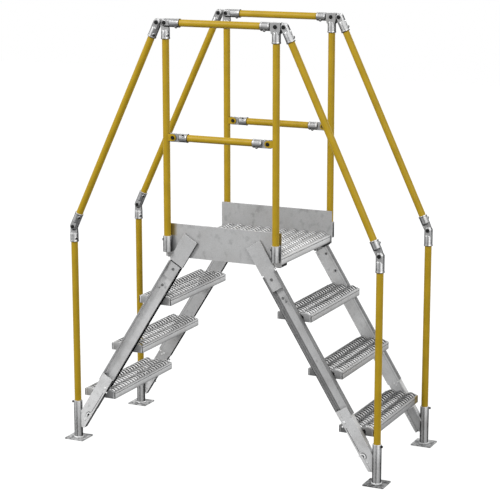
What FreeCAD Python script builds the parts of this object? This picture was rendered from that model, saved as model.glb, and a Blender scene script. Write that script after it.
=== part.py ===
import FreeCAD, Part
import math
import os

from FreeCAD import Vector

# Crossover platform: two opposed flights of three grating treads, a raised
# grating deck between side plates, and pipe handrails with swivel fittings.
# Units are millimetres. X runs along the walkway, Y across it, Z up.
# The origin is on the floor, at the centre of the footprint.

# Flight and deck
RISE = 254.0
GOING = 158.2
TREAD_COUNT = 3
WALK_WIDTH = 596.4
TREAD_DEPTH = 171.5
TREAD_HEIGHT = 36.0
DECK_LENGTH = 591.0
DECK_PLANKS = 2
DECK_PLANK_GAP = 2.0

# Grating planks
GRATING_SHEET = 2.7
GRATING_LIP = 14.0
SLOT_PITCH = 50.8
SLOT_WIDTH = 22.0
SLOT_LENGTH = 26.0
ROW_PITCH = 53.0
ROW_MARGIN = 5.0
END_MARGIN = 24.0
END_PLATE = 4.0
RIDGE_FOOT = 46.0
RIDGE_TOP = 30.0
RIDGE_RISE = 12.0

# Stringers, placed back from the line of the noses and up from the floor
STRINGER_BACK = 83.1
STRINGER_DEPTH = 71.0
STRINGER_FLANGE = 25.4
STRINGER_WALL = 4.8
STRINGER_LOW_END = 407.0
STRINGER_TONGUE_END = 256.0
STRINGER_TOP_GAP = 38.9

# Foot brackets and hangers, formed channels that lie in the stringers
NEST_CLEAR = 0.3
BRACKET_DEPTH = 27.0
BRACKET_WALL = 4.8
BRACKET_TOP_END = 449.0
BRACKET_BASE_Z = 58.0
BRACKET_STRIP_WIDTH = 12.7
BRACKET_STRIP_WALL = 2.0
HANGER_DEPTH = 12.7
HANGER_WALL = 4.8
HANGER_WIDTH = 79.0
HANGER_LAP = 121.9
HANGER_RISE = 117.1
HANGER_STEP_CLEAR = 6.0

# Side plates of the deck
SIDE_PLATE_WALL = 4.8
SIDE_PLATE_BELOW = 43.0
SIDE_PLATE_ABOVE = 118.0
SIDE_PLATE_END = 6.0

# Posts and rails
PIPE_OD = 33.4
SOCKET_OD = 42.2
SOCKET_BORE = 35.1
POST_OFFSET = 19.0
BASE_POST_BACK = 130.7
DECK_POST_INSET = 13.1
BASE_SOCKET_TOP = 194.0
DECK_SOCKET_BELOW = 16.0
DECK_SOCKET_ABOVE = 61.0
TOP_RAIL_ABOVE = 1067.0
MID_RAIL_ABOVE = 533.0
KNEE_Z = 1078.0

# Base plates
BASE_PLATE_SIDE = 101.6
BASE_PLATE_WALL = 6.35
ANCHOR_HOLE = 14.3
ANCHOR_OFFSET = 36.0

# Swivel fittings
FITTING_OD = 40.6
FITTING_REACH = 76.0
FITTING_START = 24.0
LUG_ROOT = 5.0
TONGUE_RADIUS = 17.5
TONGUE_WALL = 12.0
FORK_WALL = 8.0
FORK_CLEAR = 0.3
SLOPED_EYE_OUT = 40.6
MID_EYE_IN = 38.0

# How far a cut runs past the face it opens
OVERCUT = 1.0

# Worked out from the sizes above
DECK_TOP = RISE * (TREAD_COUNT + 1)
FLIGHT_RUN = GOING * (TREAD_COUNT + 1)
FLIGHT_LENGTH = math.hypot(FLIGHT_RUN, DECK_TOP)
SLOPE = math.atan2(DECK_TOP, FLIGHT_RUN)
HALF_WALK = WALK_WIDTH / 2
HALF_DECK = DECK_LENGTH / 2
FOOT_X = HALF_DECK + FLIGHT_RUN
PLATE_FACE = HALF_WALK + SIDE_PLATE_WALL
STRINGER_FACE = HALF_WALK + STRINGER_WALL
BRACKET_FACE = PLATE_FACE + BRACKET_DEPTH
STRINGER_TOP_END = FLIGHT_LENGTH - STRINGER_TOP_GAP
NEST_WIDTH = STRINGER_DEPTH - 2 * (STRINGER_WALL + NEST_CLEAR)
POST_LINE_Y = PLATE_FACE + POST_OFFSET
BASE_POST_X = FOOT_X - BASE_POST_BACK
DECK_POST_X = HALF_DECK - DECK_POST_INSET
TOP_RAIL_Z = DECK_TOP + TOP_RAIL_ABOVE
MID_RAIL_Z = DECK_TOP + MID_RAIL_ABOVE
FORK_RADIUS = FITTING_OD / 2
ALONG = Vector(-math.cos(SLOPE), 0, math.sin(SLOPE))
ACROSS = Vector(math.sin(SLOPE), 0, math.cos(SLOPE))
CORNERS = {
    "near_right": (1, -1),
    "near_left": (-1, -1),
    "far_right": (1, 1),
    "far_left": (-1, 1),
}


def slope_point(s, u, y):
    """A point at s out from the line of the noses, u up it from the floor, at y."""
    return Vector(FOOT_X, y, 0) + ACROSS * s + ALONG * u


def box(x0, x1, y0, y1, z0, z1):
    return Part.makeBox(x1 - x0, y1 - y0, z1 - z0, Vector(x0, y0, z0))


def slope_box(s0, s1, u0, u1, y0, y1):
    """A box whose sides lie along and across the slope of the right flight."""
    corners = [(s0, u0), (s1, u0), (s1, u1), (s0, u1), (s0, u0)]
    wire = Part.makePolygon([slope_point(s, u, y0) for s, u in corners])
    return Part.Face(wire).extrude(Vector(0, y1 - y0, 0))


def cylinder(start, end, diameter):
    axis = end - start
    return Part.makeCylinder(diameter / 2, axis.Length, start, axis)


def to_corner(shape, side_x, side_y):
    """Mirror a shape made for the near right corner to another corner."""
    if side_x < 0:
        shape = shape.mirror(Vector(0, 0, 0), Vector(1, 0, 0))
    if side_y > 0:
        shape = shape.mirror(Vector(0, 0, 0), Vector(0, 1, 0))
    return shape


def slope_channel(width, u0, u1, web_y, tip_y, wall):
    """A channel along the slope, its web at web_y and its open side at tip_y."""
    s0, s1 = -STRINGER_BACK - width / 2, -STRINGER_BACK + width / 2
    inner_y = web_y + math.copysign(wall, tip_y - web_y)
    web = slope_box(s0, s1, u0, u1, min(web_y, inner_y), max(web_y, inner_y))
    low_y, high_y = min(web_y, tip_y), max(web_y, tip_y)
    lower = slope_box(s0, s0 + wall, u0, u1, low_y, high_y)
    upper = slope_box(s1 - wall, s1, u0, u1, low_y, high_y)
    return web.fuse([lower, upper]).removeSplitter()


def make_stringer():
    """Channel open outward, its web carried on below as a tongue."""
    channel = slope_channel(
        STRINGER_DEPTH, STRINGER_LOW_END, STRINGER_TOP_END,
        -HALF_WALK, -HALF_WALK - STRINGER_FLANGE, STRINGER_WALL)
    tongue = slope_box(
        -STRINGER_BACK - NEST_WIDTH / 2, -STRINGER_BACK + NEST_WIDTH / 2,
        STRINGER_TONGUE_END, STRINGER_LOW_END, -STRINGER_FACE, -HALF_WALK)
    return channel.fuse(tongue).removeSplitter()


def make_hanger():
    """Wide channel on the side plate, with a narrower tail in the stringer."""
    face = -PLATE_FACE - HANGER_DEPTH
    high_end = FLIGHT_LENGTH + HANGER_RISE
    wide = slope_channel(
        HANGER_WIDTH, STRINGER_TOP_END + HANGER_STEP_CLEAR, high_end,
        face, -PLATE_FACE, HANGER_WALL)
    tail = slope_channel(
        NEST_WIDTH, FLIGHT_LENGTH - HANGER_LAP, high_end, face, -PLATE_FACE, HANGER_WALL)
    return wide.fuse(tail).removeSplitter()


def make_bracket():
    """Channel that carries the stringer, with a welded strip on its lower edge."""
    channel = slope_channel(
        NEST_WIDTH, 0, BRACKET_TOP_END, -BRACKET_FACE, -STRINGER_FACE, BRACKET_WALL)
    low_s = -STRINGER_BACK - NEST_WIDTH / 2
    strip = slope_box(
        low_s, low_s + BRACKET_STRIP_WIDTH, 0, BRACKET_TOP_END,
        -BRACKET_FACE - BRACKET_STRIP_WALL, -BRACKET_FACE)
    below_post_line = box(0, BASE_POST_X, -WALK_WIDTH, 0, BRACKET_BASE_Z, DECK_TOP)
    return channel.fuse(strip).common(below_post_line)


def make_foot():
    """Base plate, post socket and slanted bracket, welded into one piece."""
    half = BASE_PLATE_SIDE / 2
    x, y = BASE_POST_X, -POST_LINE_Y
    plate = box(x - half, x + half, y - half, y + half, 0, BASE_PLATE_WALL)
    for side in (-1, 1):
        hole_y = y + side * ANCHOR_OFFSET
        low = Vector(x, hole_y, -OVERCUT)
        plate = plate.cut(cylinder(low, Vector(x, hole_y, BASE_PLATE_WALL + OVERCUT), ANCHOR_HOLE))
    axis_low = Vector(x, y, BASE_PLATE_WALL)
    axis_high = Vector(x, y, BASE_SOCKET_TOP)
    socket = cylinder(axis_low, axis_high, SOCKET_OD)
    bore = cylinder(axis_low, axis_high, SOCKET_BORE)
    return plate.fuse([socket, make_bracket()]).cut(bore).removeSplitter()


def ridge(x, y0, y1, drop):
    """A flat-topped ridge along Y, centred on x, with its foot a drop below z = 0."""
    foot = RIDGE_FOOT / 2
    crest = RIDGE_TOP / 2
    outline = Part.makePolygon([
        Vector(x - foot, y0, -drop), Vector(x - crest, y0, RIDGE_RISE - drop),
        Vector(x + crest, y0, RIDGE_RISE - drop), Vector(x + foot, y0, -drop),
        Vector(x - foot, y0, -drop)])
    return Part.Face(outline).extrude(Vector(0, y1 - y0, 0))


def make_grating(length, width):
    """A channel plank, centred, flat at z = 0, with a slotted ridge along each row."""
    plank = box(-width / 2, width / 2, -length / 2, length / 2, -TREAD_HEIGHT, 0)
    inside = box(
        -width / 2 + GRATING_SHEET, width / 2 - GRATING_SHEET,
        -length / 2 + END_PLATE, length / 2 - END_PLATE, -TREAD_HEIGHT, -GRATING_SHEET)
    lips = box(
        -width / 2 + GRATING_LIP, width / 2 - GRATING_LIP,
        -length / 2 + END_PLATE, length / 2 - END_PLATE, -TREAD_HEIGHT, -GRATING_SHEET)
    floor = box(
        -width / 2, width / 2, -length / 2, length / 2,
        -TREAD_HEIGHT, -TREAD_HEIGHT + GRATING_SHEET)
    plank = plank.cut(inside).fuse(floor.cut(lips))
    ridges = []
    hollows = []
    slots = []
    rows = int((width - 2 * ROW_MARGIN) // ROW_PITCH)
    count = int((length - 2 * END_MARGIN) // SLOT_PITCH)
    for row in range(rows):
        x = (row - (rows - 1) / 2) * ROW_PITCH
        ridges.append(ridge(x, -length / 2, length / 2, 0))
        hollows.append(ridge(x, -length / 2 + END_PLATE, length / 2 - END_PLATE, GRATING_SHEET))
        for index in range(count):
            y = (index - (count - 1) / 2) * SLOT_PITCH
            slots.append(box(
                x - SLOT_LENGTH / 2, x + SLOT_LENGTH / 2,
                y - SLOT_WIDTH / 2, y + SLOT_WIDTH / 2,
                -GRATING_SHEET - OVERCUT, RIDGE_RISE + OVERCUT))
    return plank.fuse(ridges).cut(hollows + slots).removeSplitter()


def make_tread(level):
    nose = HALF_DECK + GOING * (TREAD_COUNT + 1 - level)
    tread = make_grating(WALK_WIDTH, TREAD_DEPTH)
    tread.translate(Vector(nose - TREAD_DEPTH / 2, 0, RISE * level))
    return tread


def make_deck_plank(side):
    width = (DECK_LENGTH - DECK_PLANK_GAP) / DECK_PLANKS
    plank = make_grating(WALK_WIDTH, width)
    plank.translate(Vector(side * (width + DECK_PLANK_GAP) / 2, 0, DECK_TOP))
    return plank


def make_side_plate():
    """Toe plate beside the deck, with the two post sockets welded to it."""
    reach = HALF_DECK + SIDE_PLATE_END
    plate = box(
        -reach, reach, -PLATE_FACE, -HALF_WALK,
        DECK_TOP - SIDE_PLATE_BELOW, DECK_TOP + SIDE_PLATE_ABOVE)
    for x in (-DECK_POST_X, DECK_POST_X):
        low = Vector(x, -POST_LINE_Y, DECK_TOP - DECK_SOCKET_BELOW)
        high = Vector(x, -POST_LINE_Y, DECK_TOP + DECK_SOCKET_ABOVE)
        plate = plate.fuse(cylinder(low, high, SOCKET_OD)).cut(cylinder(low, high, SOCKET_BORE))
    return plate.removeSplitter()


def direction(dx, dz):
    length = math.hypot(dx, dz)
    return Vector(dx / length, 0, dz / length)


def turned_to(shape, way, pivot):
    """Turn a shape made along +X in the XZ plane to a direction, and place it."""
    angle = math.degrees(math.atan2(way.z, way.x))
    shape.rotate(Vector(0, 0, 0), Vector(0, 1, 0), -angle)
    shape.translate(pivot)
    return shape


def lug(radius, reach, y0, y1):
    """A flat lug with a round end about the pivot, reaching out along +X."""
    eye = Part.makeCylinder(radius, y1 - y0, Vector(0, y0, 0), Vector(0, 1, 0))
    return eye.fuse(box(0, reach, y0, y1, -radius, radius))


def sleeve():
    """The body of a fitting, along +X, whose open end meets the end of a pipe."""
    return cylinder(Vector(FITTING_START, 0, 0), Vector(FITTING_REACH, 0, 0), FITTING_OD)


def tongue_fitting():
    """Sleeve with one lug in the middle."""
    tongue = lug(TONGUE_RADIUS, FITTING_START, -TONGUE_WALL / 2, TONGUE_WALL / 2)
    return sleeve().fuse(tongue).removeSplitter()


def fork_lugs(reach):
    """The two lugs that hold a tongue between them."""
    inner = TONGUE_WALL / 2 + FORK_CLEAR
    outer = inner + FORK_WALL
    return [lug(FORK_RADIUS, reach, inner, outer), lug(FORK_RADIUS, reach, -outer, -inner)]


def fork_fitting():
    return sleeve().fuse(fork_lugs(FITTING_START + LUG_ROOT)).removeSplitter()


def make_knee_swivel():
    """Fork on a base post and tongue on a sloped rail, about one pivot."""
    post = turned_to(fork_fitting(), Vector(0, 0, -1), KNEE_PIVOT)
    rail = turned_to(tongue_fitting(), RAIL_WAY, KNEE_PIVOT)
    return [post, rail]


def make_top_swivel():
    """Wide fork on a deck post that holds the top rail and a sloped rail."""
    arms = []
    for arm in fork_lugs(SLOPED_EYE_OUT):
        outer_end = arm.mirror(Vector(SLOPED_EYE_OUT / 2, 0, 0), Vector(1, 0, 0))
        arm = arm.fuse(outer_end)
        arm.translate(TOP_PIVOT)
        arms.append(arm)
    post = turned_to(fork_fitting(), Vector(0, 0, -1), TOP_PIVOT).fuse(arms).removeSplitter()
    rail = turned_to(tongue_fitting(), Vector(-1, 0, 0), TOP_PIVOT)
    sloped = turned_to(tongue_fitting(), RAIL_WAY * -1, SLOPED_TOP_PIVOT)
    return [post, rail, sloped]


def make_mid_swivel():
    """Lug on the side of a deck post, with the forked fitting of the mid rail."""
    half = TONGUE_WALL / 2
    tab = lug(TONGUE_RADIUS, MID_EYE_IN, -half, half)
    tab.translate(MID_PIVOT)
    axis_low = Vector(DECK_POST_X, -POST_LINE_Y, MID_RAIL_Z - FITTING_REACH)
    axis_high = Vector(DECK_POST_X, -POST_LINE_Y, MID_RAIL_Z + FITTING_REACH)
    tab = tab.cut(cylinder(axis_low, axis_high, PIPE_OD))
    tab = tab.common(box(0, DECK_POST_X, -WALK_WIDTH, 0, 0, TOP_RAIL_Z))
    rail = turned_to(fork_fitting(), Vector(-1, 0, 0), MID_PIVOT)
    return [tab, rail]


def rail_pipe(start, end):
    return cylinder(start, end, PIPE_OD)


def make_base_post():
    low = Vector(BASE_POST_X, -POST_LINE_Y, BASE_PLATE_WALL)
    return rail_pipe(low, KNEE_PIVOT - Vector(0, 0, FITTING_REACH))


def make_deck_post():
    low = Vector(DECK_POST_X, -POST_LINE_Y, DECK_TOP - DECK_SOCKET_BELOW)
    return rail_pipe(low, TOP_PIVOT - Vector(0, 0, FITTING_REACH))


def make_sloped_rail():
    return rail_pipe(
        KNEE_PIVOT + RAIL_WAY * FITTING_REACH, SLOPED_TOP_PIVOT - RAIL_WAY * FITTING_REACH)


def make_level_rail(pivot):
    """Straight rail between the fittings of two posts on one side."""
    reach = pivot.x - FITTING_REACH
    return rail_pipe(Vector(-reach, pivot.y, pivot.z), Vector(reach, pivot.y, pivot.z))


KNEE_PIVOT = Vector(BASE_POST_X, -POST_LINE_Y, KNEE_Z)
TOP_PIVOT = Vector(DECK_POST_X, -POST_LINE_Y, TOP_RAIL_Z)
SLOPED_TOP_PIVOT = TOP_PIVOT + Vector(SLOPED_EYE_OUT, 0, 0)
MID_PIVOT = Vector(DECK_POST_X - MID_EYE_IN, -POST_LINE_Y, MID_RAIL_Z)
RAIL_WAY = direction(SLOPED_TOP_PIVOT.x - KNEE_PIVOT.x, SLOPED_TOP_PIVOT.z - KNEE_PIVOT.z)

parts = {}


def keep(name, shape):
    parts[name] = shape


def keep_both(name, make):
    """Keep a pair of like pieces, right and left, as one node for each side."""
    for side, side_y in (("near", -1), ("far", 1)):
        solids = []
        for side_x in (1, -1):
            solids.extend(to_corner(solid, side_x, side_y) for solid in make())
        keep(name + "_" + side, Part.makeCompound(solids))


def build_frames():
    for corner, (side_x, side_y) in CORNERS.items():
        keep("stringer_" + corner, to_corner(make_stringer(), side_x, side_y))
        keep("hanger_" + corner, to_corner(make_hanger(), side_x, side_y))
    keep_both("feet", lambda: [make_foot()])
    keep("side_plate_near", make_side_plate())
    keep("side_plate_far", to_corner(make_side_plate(), 1, 1))


def build_walkway():
    for level in range(1, TREAD_COUNT + 1):
        keep("tread_right_" + str(level), to_corner(make_tread(level), 1, -1))
        keep("tread_left_" + str(level), to_corner(make_tread(level), -1, -1))
    keep("deck_plank_right", make_deck_plank(1))
    keep("deck_plank_left", make_deck_plank(-1))


def build_handrails():
    keep_both("base_posts", lambda: [make_base_post()])
    keep_both("deck_posts", lambda: [make_deck_post()])
    keep_both("sloped_rails", lambda: [make_sloped_rail()])
    keep_both("knee_swivels", make_knee_swivel)
    keep_both("top_swivels", make_top_swivel)
    keep_both("mid_swivels", make_mid_swivel)
    for side, side_y in (("near", -1), ("far", 1)):
        keep("top_rail_" + side, to_corner(make_level_rail(TOP_PIVOT), 1, side_y))
        keep("mid_rail_" + side, to_corner(make_level_rail(MID_PIVOT), 1, side_y))


def save_parts():
    os.makedirs("parts", exist_ok=True)
    for name, shape in parts.items():
        shape.exportStep("parts/" + name + ".step")
        print(name, shape.isValid(), len(shape.Solids), round(shape.Volume))


build_frames()
build_walkway()
build_handrails()
save_parts()
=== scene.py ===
import math

import bmesh
import bpy
from mathutils import Matrix, Vector


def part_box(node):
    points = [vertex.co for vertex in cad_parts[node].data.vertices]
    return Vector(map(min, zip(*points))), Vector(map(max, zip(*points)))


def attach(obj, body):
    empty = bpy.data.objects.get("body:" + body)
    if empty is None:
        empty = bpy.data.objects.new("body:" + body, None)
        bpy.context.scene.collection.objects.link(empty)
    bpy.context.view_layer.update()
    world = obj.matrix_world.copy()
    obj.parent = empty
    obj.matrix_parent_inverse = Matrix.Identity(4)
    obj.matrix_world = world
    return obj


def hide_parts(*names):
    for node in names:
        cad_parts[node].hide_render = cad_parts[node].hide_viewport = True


# Looks of the crossover platform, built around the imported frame. Units are metres.
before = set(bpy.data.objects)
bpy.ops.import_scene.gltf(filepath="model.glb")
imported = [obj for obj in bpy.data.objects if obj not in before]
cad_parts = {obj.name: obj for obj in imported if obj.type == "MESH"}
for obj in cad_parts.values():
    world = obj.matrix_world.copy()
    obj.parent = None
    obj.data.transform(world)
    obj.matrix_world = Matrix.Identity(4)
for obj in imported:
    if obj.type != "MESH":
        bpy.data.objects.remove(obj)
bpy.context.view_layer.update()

SIDES = {"near": -1, "far": 1}
ENDS = {"right": 1, "left": -1}

# Camera, with its angles in degrees and its lens in millimetres
CAMERA_PLACE = (3.480, -7.330, 2.719)
CAMERA_TILT = 77.833
CAMERA_TURN = 25.409
CAMERA_LENS = 122.97
SENSOR = 36.0

# Gratings: channel, ridges in rows along Y, and the toothed slats across each ridge
SHEET = 0.0027
LIP = 0.014
EDGE_ROUND = 0.005
ROW_PITCH = 0.053
ROW_WIDTH = 0.046
ROW_MARGIN = 0.005
SLAT_PITCH = 0.0254
SLAT_CREST = 0.0105
SLAT_FOOT = 0.0140
SLAT_DEPTH = 0.0045
HUMP = 0.012
HUMP_FULLNESS = 0.8
TOOTH = 0.0022
TOOTH_CREST = 0.0011
TOOTH_EDGE = 0.0008
SLAT_DIP = 0.0012
TEETH = 8
GROOVE_Z = 0.009
GROOVE_WIDTH = 0.0026
GROOVE_DEPTH = 0.0015

# Ends of the gratings: closing strip, end plate, its rim of painted highlight, bolt slot of
# painted shade and corner lines of painted shade and highlight
END_STRIP = 0.006
END_PLATE = 0.004
END_RISE = 0.6
END_STEPS = 8
MARK_DEPTH = 0.0006
RIM_WIDER = 0.006
RIM_HEIGHT = 0.0035
END_SLOT_IN = 0.048
END_SLOT_R = 0.0100
END_SLOT_MIDDLE = 0.0155
END_SLOT_FOOT = 0.030
CORNER_LINES = ((0.0, 0.0045, 0.05), (0.0045, 0.003, 1.0))
LINE_FOOT = 0.0015
LINE_TOP = 0.004

# Painted shade on the gratings: inside, end slots, end walls, strips between ridges, gaps of
# slats
INSIDE_SHADE = 0.12
END_SLOT_SHADE = 0.12
WALL_SHADE = 0.6
WALL_EDGE_SHADE = 0.5
WALL_FOOT_SHADE = 0.38
STRIP_SHADE = 0.3
TREAD_GAP = 0.15
DECK_GAP = 0.38

# Line of the noses, read from the top and bottom treads
LOW_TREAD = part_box("tread_right_1")[1]
HIGH_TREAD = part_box("tread_right_3")[1]
NOSE_X, NOSE_Z = LOW_TREAD.x, LOW_TREAD.z - HUMP
SLOPE = math.atan2(HIGH_TREAD.z - LOW_TREAD.z, LOW_TREAD.x - HIGH_TREAD.x)
SLOPE_SIN, SLOPE_COS = math.sin(SLOPE), math.cos(SLOPE)

# Swivel fittings: distances along each sleeve are counted from its pivot
PIPE_R = 0.0167
SLEEVE_R = 0.0203
FORK_START = 0.024
TONGUE_START = 0.033
SLEEVE_END = 0.076
NECK_R = 0.0165
RIM_R = 0.0215
RIM_LENGTH = 0.005
END_ROUND = 0.0012
SLEEVE_OVERLAP = 0.004
TONGUE_R = 0.0175
TONGUE_HALF = 0.006
FORK_IN = 0.0063
FORK_OUT = 0.0160
LUG_ROOT = 0.008
FLARE_HALF = 0.026
TAB_R = 0.016
TAB_WALL = 0.005
ARM_GAP = 0.0015
SCREW_PLACE = 0.058
BOSS_R = 0.0085
BOSS_RISE = 0.0022
SCREW_R = 0.0046
SCREW_RISE = 0.0030
BOLT_R = 0.0088
BOLT_RISE = 0.0055
NUT_R = 0.0085
NUT_RISE = 0.0060
SLOPED_EYE_OUT = 0.0406
MID_EYE_IN = 0.038
FITTING_BEVEL = 0.0008
SCREW_BEVEL = 0.0004

# Post sockets, with their set screws and the welds at their feet
SOCKET_R = 0.0211
SOCKET_TOP = 0.194
SOCKET_SKIN = 0.0003
WELD = 0.0042
BASE_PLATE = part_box("base_posts_near")[0].z
DECK_SOCKET_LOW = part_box("deck_posts_near")[0].z
DECK_SOCKET_HIGH = DECK_SOCKET_LOW + 0.077
BASE_SCREW_DOWN = 0.012
BASE_SCREW_R = 0.0042
BASE_SCREW_HEAD_R = 0.0062
DECK_SCREW_DOWN = 0.018

# Lines that marks and shades are counted from
FOOT_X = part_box("base_posts_near")[1].x - PIPE_R
DECK_POST_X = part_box("deck_posts_near")[1].x - PIPE_R
DECK_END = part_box("deck_plank_right")[1].x
DECK_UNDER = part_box("deck_plank_right")[0].z
BRACKET_FACE = 0.330
WEB_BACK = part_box("stringer_far_right")[0].y
LIP_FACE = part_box("stringer_far_right")[1].y

# Marks on the hangers, as distance out from the deck's end, below its underside, and radius
HANGER_BOLTS = ((-0.0373, 0.0663, 0.0070), (0.0216, 0.1490, 0.0070), (0.0380, 0.1645, 0.0040))
INNER_BOLTS = ((-0.0212, 0.0619, 0.0060), (0.0295, 0.1423, 0.0060))
FLAT_BOLT_RISE = 0.003
# Width of the dark strip of painted shadow where each hanger's wide part ends
HANGER_SHADOW_WIDTH = 0.0055

# Marks on the feet, as distance in from the post's line, height above the floor, and radius
BRACKET_BOLTS = ((0.1618, 0.2790, 0.0075), (0.1686, 0.2560, 0.0045), (0.0440, 0.0996, 0.0042))
INNER_WELDS = ((0.1544, 0.2970, 0.0045), (0.1416, 0.2900, 0.0045), (0.1346, 0.3080, 0.0045))
BRACKET_BOLT_RISE = 0.004
# Slot of each bracket: a dark disc of painted shade with a pin, under a lip of painted highlight
BRACKET_SLOT = (0.0673, 0.1255)
SLOT_R = 0.0100
SLOT_PIN_R = 0.0042
SLOT_PIN_DOWN = 0.0035
LIP_SPAN = (-25, 190, 14)
# Dark strip of painted shadow along the groove of each bracket
BRACKET_SHADOW_START = (0.1516, 0.2530)
BRACKET_SHADOW_END = (0.0826, 0.1450)
BRACKET_SHADOW_WIDTH = 0.0022

# Clips under the ends of the deck, black with painted shadow
CLIP_LENGTH = 0.022
CLIP_REACH = 0.075
CLIP_HEIGHT = 0.011

# Painted shade in bands from an edge of a stringer, as (share of the bands' depth, level)
BAND_DEPTH = 0.025
RIGHT_BANDS = (
    (0.10, 0.22), (0.17, 0.62), (0.48, 0.55), (0.58, 0.30), (0.70, 0.36), (0.84, 1.0))
LEFT_BANDS = ((0.05, 0.03), (0.09, 1.0))
BACK_BANDS = ((0.08, 0.45), (0.14, 1.0), (0.44, 1.0), (0.50, 0.6), (0.58, 1.0))
LIP_SHADE = 0.45

# Colours: the paint, its painted reflection in the zinc beside it, and the painted light that
# makes the left treads and feet lighter
YELLOW_DARK = (0.420, 0.268, 0.0085)
YELLOW_LIGHT = (0.472, 0.303, 0.0115)
POST_REFLECTION = (0.74, 0.56, 0.17)
LEFT_TREADS_PAINTED_LIGHT = 1.45
LEFT_FEET_PAINTED_LIGHT = 1.25
WHITE = (1.0, 1.0, 1.0)

# Grain of the zinc, as scales of its noises, and the way that the painted reflections on round
# zinc are counted from
CLOUD_SCALE = 11.0
SPOT_SCALE = 36.0
ROUGH_SCALE = 60.0
BUMP_SCALE = 220.0
GRAIN_SCALE = 420.0
REFLECTION_TURN = (0.903, 0.430)

# Stage: grey of the floor, its own white and the light of the room
FLOOR_SIZE = 30
FLOOR_DROP = 0.001
FLOOR_GREY = 0.12
FLOOR_WHITE = 0.93
SKY_LIGHT = 0.50
SKY_COLOUR = (0.92, 0.96, 1.0)

# Lamps: place, size and watts, all aimed at the middle of the object
LAMP_TARGET = (0, 0, 1.0)
LAMPS = {
    "key": ((-3.5, -5.0, 6.0), 2.5, 420),
    "fill": ((6.0, -3.0, 3.0), 3.0, 160),
    "back": ((1.0, 5.0, 5.0), 3.0, 160),
}

# Smoothness of round forms
ROUND = 40
SMALL_ROUND = 16


class Shape:
    """Collects faces for one mesh; each form is made in its own frame and placed."""

    def __init__(self, name):
        self.name = name
        self.mesh = bmesh.new()
        self.shade = self.mesh.verts.layers.float.new("shade")

    def add(self, points, faces, place=None, smooth=False, shades=None):
        place = place or Matrix.Identity(4)
        verts = [self.mesh.verts.new(place @ Vector(p)) for p in points]
        for index, vert in enumerate(verts):
            vert[self.shade] = shades[index] if shades else 1.0
        for face in faces:
            made = self.mesh.faces.new([verts[i] for i in face])
            made.smooth = smooth

    def box(self, low, high, shades=None):
        x0, y0, z0 = low
        x1, y1, z1 = high
        points = [
            (x0, y0, z0), (x1, y0, z0), (x1, y1, z0), (x0, y1, z0),
            (x0, y0, z1), (x1, y0, z1), (x1, y1, z1), (x0, y1, z1)]
        faces = [
            (0, 3, 2, 1), (4, 5, 6, 7), (0, 1, 5, 4), (1, 2, 6, 5), (2, 3, 7, 6), (3, 0, 4, 7)]
        self.add(points, faces, shades=shades)

    def prism(self, outline, y0, y1, place=None, shades=None):
        """An outline in the XZ plane carried from y0 to y1."""
        count = len(outline)
        points = [(x, y0, z) for x, z in outline] + [(x, y1, z) for x, z in outline]
        faces = [tuple(range(count)), tuple(range(2 * count - 1, count - 1, -1))]
        for i in range(count):
            j = (i + 1) % count
            faces.append((i, i + count, j + count, j))
        self.add(points, faces, place, shades=shades * 2 if shades else None)

    def turned(self, profile, place=None, segments=ROUND, smooth=True):
        """A profile of (distance along X, radius) turned about the X axis."""
        rings = []
        points = []
        for x, radius in profile:
            if radius == 0:
                rings.append([len(points)])
                points.append((x, 0, 0))
                continue
            ring = []
            for k in range(segments):
                angle = 2 * math.pi * k / segments
                ring.append(len(points))
                points.append((x, radius * math.cos(angle), radius * math.sin(angle)))
            rings.append(ring)
        faces = []
        for a, b in zip(rings, rings[1:]):
            for k in range(segments):
                n = (k + 1) % segments
                if len(a) == 1:
                    faces.append((a[0], b[k], b[n]))
                elif len(b) == 1:
                    faces.append((a[k], b[0], a[n]))
                else:
                    faces.append((a[k], b[k], b[n], a[n]))
        self.add(points, faces, place, smooth)

    def finish(self, material, bevel=0.0, body="root"):
        bmesh.ops.recalc_face_normals(self.mesh, faces=self.mesh.faces)
        data = bpy.data.meshes.new(self.name)
        self.mesh.to_mesh(data)
        self.mesh.free()
        data.materials.append(material)
        made = bpy.data.objects.new(self.name, data)
        bpy.context.scene.collection.objects.link(made)
        if bevel:
            edge = made.modifiers.new("soft edges", "BEVEL")
            edge.width = bevel
            edge.segments = 2
            edge.limit_method = "ANGLE"
            edge.angle_limit = math.radians(40)
        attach(made, body)
        return made


def facing(direction, place):
    """A frame at a place whose X axis points in a direction."""
    turn = Vector(direction).to_track_quat("X", "Z").to_matrix().to_4x4()
    return Matrix.Translation(Vector(place)) @ turn


def in_plane(direction, place):
    """A frame whose X axis lies along a direction in the XZ plane and whose Y axis is Y."""
    x = Vector(direction).normalized()
    y = Vector((0, 1, 0))
    z = x.cross(y)
    turn = Matrix((x, y, z)).transposed().to_4x4()
    return Matrix.Translation(Vector(place)) @ turn


def arc(centre_x, centre_z, radius, start, stop, steps=12):
    """Points on an arc in the XZ plane, with its angles in degrees."""
    points = []
    for step in range(steps + 1):
        angle = math.radians(start + (stop - start) * step / steps)
        points.append((centre_x + radius * math.cos(angle), centre_z + radius * math.sin(angle)))
    return points


# Materials
def new_material(name):
    made = bpy.data.materials.new(name)
    made.use_nodes = True
    tree = made.node_tree
    return made, tree, tree.nodes["Principled BSDF"]


def feed(tree, node, inputs):
    """Give each named input of a node its value, or the socket that feeds it."""
    for slot, value in inputs.items():
        if isinstance(value, bpy.types.NodeSocket):
            tree.links.new(value, node.inputs[slot])
        else:
            node.inputs[slot].default_value = value


def new_node(tree, kind, inputs=None, **settings):
    """A shader node of a kind, with its settings and inputs."""
    made = tree.nodes.new("ShaderNode" + kind)
    for name, value in settings.items():
        setattr(made, name, value)
    feed(tree, made, inputs or {})
    return made


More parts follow.
